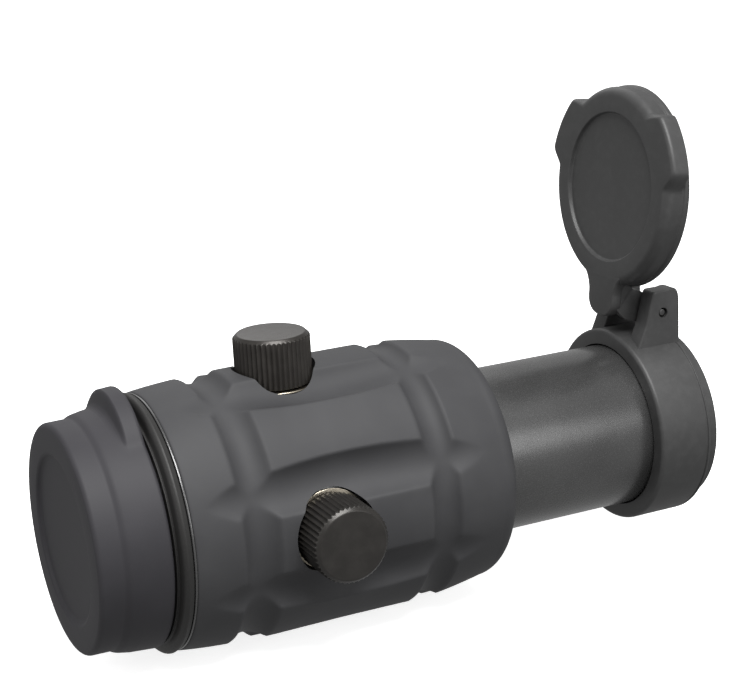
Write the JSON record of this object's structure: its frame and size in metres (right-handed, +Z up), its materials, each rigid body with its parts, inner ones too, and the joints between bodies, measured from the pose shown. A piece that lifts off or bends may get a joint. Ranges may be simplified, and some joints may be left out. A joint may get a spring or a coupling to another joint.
{
  "type": "sight magnifier",
  "caption": "Short straight magnifier on a round tube, with a grooved rubber sleeve, capped adjusting turrets, a push-on eyepiece cap and a hinged lens cover standing open.",
  "frame": {"origin": "The middle of the bare 30 mm tube on the optical axis, where a mounting ring grips it.", "axes": "+Y runs along the optical axis from the eyepiece to the objective, +Z is up through the elevation turret and the cover's hinge, +X points right through the windage turret."},
  "size_m": [0.0525, 0.1195, 0.0865],
  "materials": {
    "anodised_tube": "satin black anodised",
    "anodised_knob": "satin black anodised, knurled",
    "armour_rubber": "matte moulded rubber, fine grain",
    "cap_rubber": "matte soft rubber",
    "cover_plastic": "satin moulded plastic",
    "seal_rubber": "smooth seal rubber",
    "turret_brass": "turned brass",
    "spring_steel": "ground steel",
    "lens_glass": "coated optical glass"
  },
  "bodies": {
    "housing": {"main_tube": "anodised_tube", "rubber_armour": "armour_rubber", "objective_flint_lens": "lens_glass", "objective_crown_lens": "lens_glass", "objective_seal": "seal_rubber", "objective_retaining_ring": "anodised_tube", "elevation_cap_seal": "seal_rubber", "elevation_bushing": "turret_brass", "windage_cap_seal": "seal_rubber", "windage_bushing": "turret_brass", "gimbal_left_pin": "spring_steel", "gimbal_right_pin": "spring_steel", "leaf_spring": "spring_steel", "cover_collar": "cover_plastic", "lid_hinge_pin": "spring_steel", "lid_torsion_spring": "spring_steel"},
    "lid": {"flip_lid": "cover_plastic"},
    "eyepiece": {"eyepiece_cell": "anodised_tube", "eyepiece_o_ring": "seal_rubber", "eye_lens": "lens_glass", "eyepiece_spacer": "anodised_tube", "eyepiece_field_lens": "lens_glass", "eyepiece_retaining_ring": "anodised_tube"},
    "dioptre": {"dioptre_ring": "anodised_tube"},
    "rear_cap": {"eyepiece_cap": "cap_rubber"},
    "elevation_cover": {"elevation_cap": "anodised_knob"},
    "elevation_knob": {"elevation_dial": "turret_brass"},
    "elevation_screw": {"elevation_plunger": "spring_steel"},
    "windage_cover": {"windage_cap": "anodised_knob"},
    "windage_knob": {"windage_dial": "turret_brass"},
    "windage_screw": {"windage_plunger": "spring_steel"},
    "gimbal": {"gimbal_ring": "anodised_tube", "gimbal_lower_pin": "spring_steel", "gimbal_upper_pin": "spring_steel"},
    "erector": {"erector_tube": "anodised_tube", "rear_relay_lens": "lens_glass", "relay_spacer": "anodised_tube", "relay_stop": "anodised_tube", "front_relay_lens": "lens_glass", "relay_retaining_ring": "anodised_tube"}
  },
  "joints": [
    {"name": "lid_hinge", "type": "hinge", "parent": "housing", "child": "lid", "pos_m": [0, 0.0222, 0.0222], "axis": [1, 0, 0], "range_deg": [-174, 0], "stiffness_Nm_per_rad": 0.0015, "springref_deg": 28.65, "deforming": ["lid_torsion_spring"]},
    {"name": "eyepiece_focus", "type": "slide", "parent": "housing", "child": "eyepiece", "axis": [0, -1, 0], "range_m": [0, 0.002]},
    {"name": "dioptre_turn", "type": "hinge", "parent": "eyepiece", "child": "dioptre", "pos_m": [0, -0.0777, 0], "axis": [0, 1, 0], "range_deg": [0, 366]},
    {"name": "rear_cap_pull", "type": "slide", "parent": "eyepiece", "child": "rear_cap", "axis": [0, -1, 0], "range_m": [0, 0.02]},
    {"name": "elevation_cap_lift", "type": "slide", "parent": "housing", "child": "elevation_cover", "axis": [0, 0, 1], "range_m": [0, 0.009]},
    {"name": "windage_cap_lift", "type": "slide", "parent": "housing", "child": "windage_cover", "axis": [1, 0, 0], "range_m": [0, 0.009]},
    {"name": "elevation_dial_turn", "type": "hinge", "parent": "housing", "child": "elevation_knob", "pos_m": [0, -0.0519, 0], "axis": [0, 0, 1], "range_deg": [-366, 366]},
    {"name": "windage_dial_turn", "type": "hinge", "parent": "housing", "child": "windage_knob", "pos_m": [0, -0.0519, 0], "axis": [1, 0, 0], "range_deg": [-366, 366]},
    {"name": "elevation_screw_travel", "type": "slide", "parent": "housing", "child": "elevation_screw", "axis": [0, 0, 1], "range_m": [-0.00055, 0.00055]},
    {"name": "windage_screw_travel", "type": "slide", "parent": "housing", "child": "windage_screw", "axis": [1, 0, 0], "range_m": [-0.00055, 0.00055]},
    {"name": "gimbal_tilt", "type": "hinge", "parent": "housing", "child": "gimbal", "pos_m": [0, -0.0259, 0], "axis": [1, 0, 0], "range_deg": [-1.1, 1.1]},
    {"name": "erector_swing", "type": "hinge", "parent": "gimbal", "child": "erector", "pos_m": [0, -0.0259, 0], "axis": [0, 0, 1], "range_deg": [-1.1, 1.1], "deforming": ["leaf_spring"]}
  ],
  "couplings": [
    {"joint": "dioptre_turn", "follows": "eyepiece_focus", "rad_per_m": 3141.6},
    {"joint": "elevation_dial_turn", "follows": "gimbal_tilt", "ratio": -326.73},
    {"joint": "elevation_screw_travel", "follows": "gimbal_tilt", "m_per_rad": -0.026},
    {"joint": "windage_dial_turn", "follows": "erector_swing", "ratio": 326.73},
    {"joint": "windage_screw_travel", "follows": "erector_swing", "m_per_rad": 0.026}
  ]
}
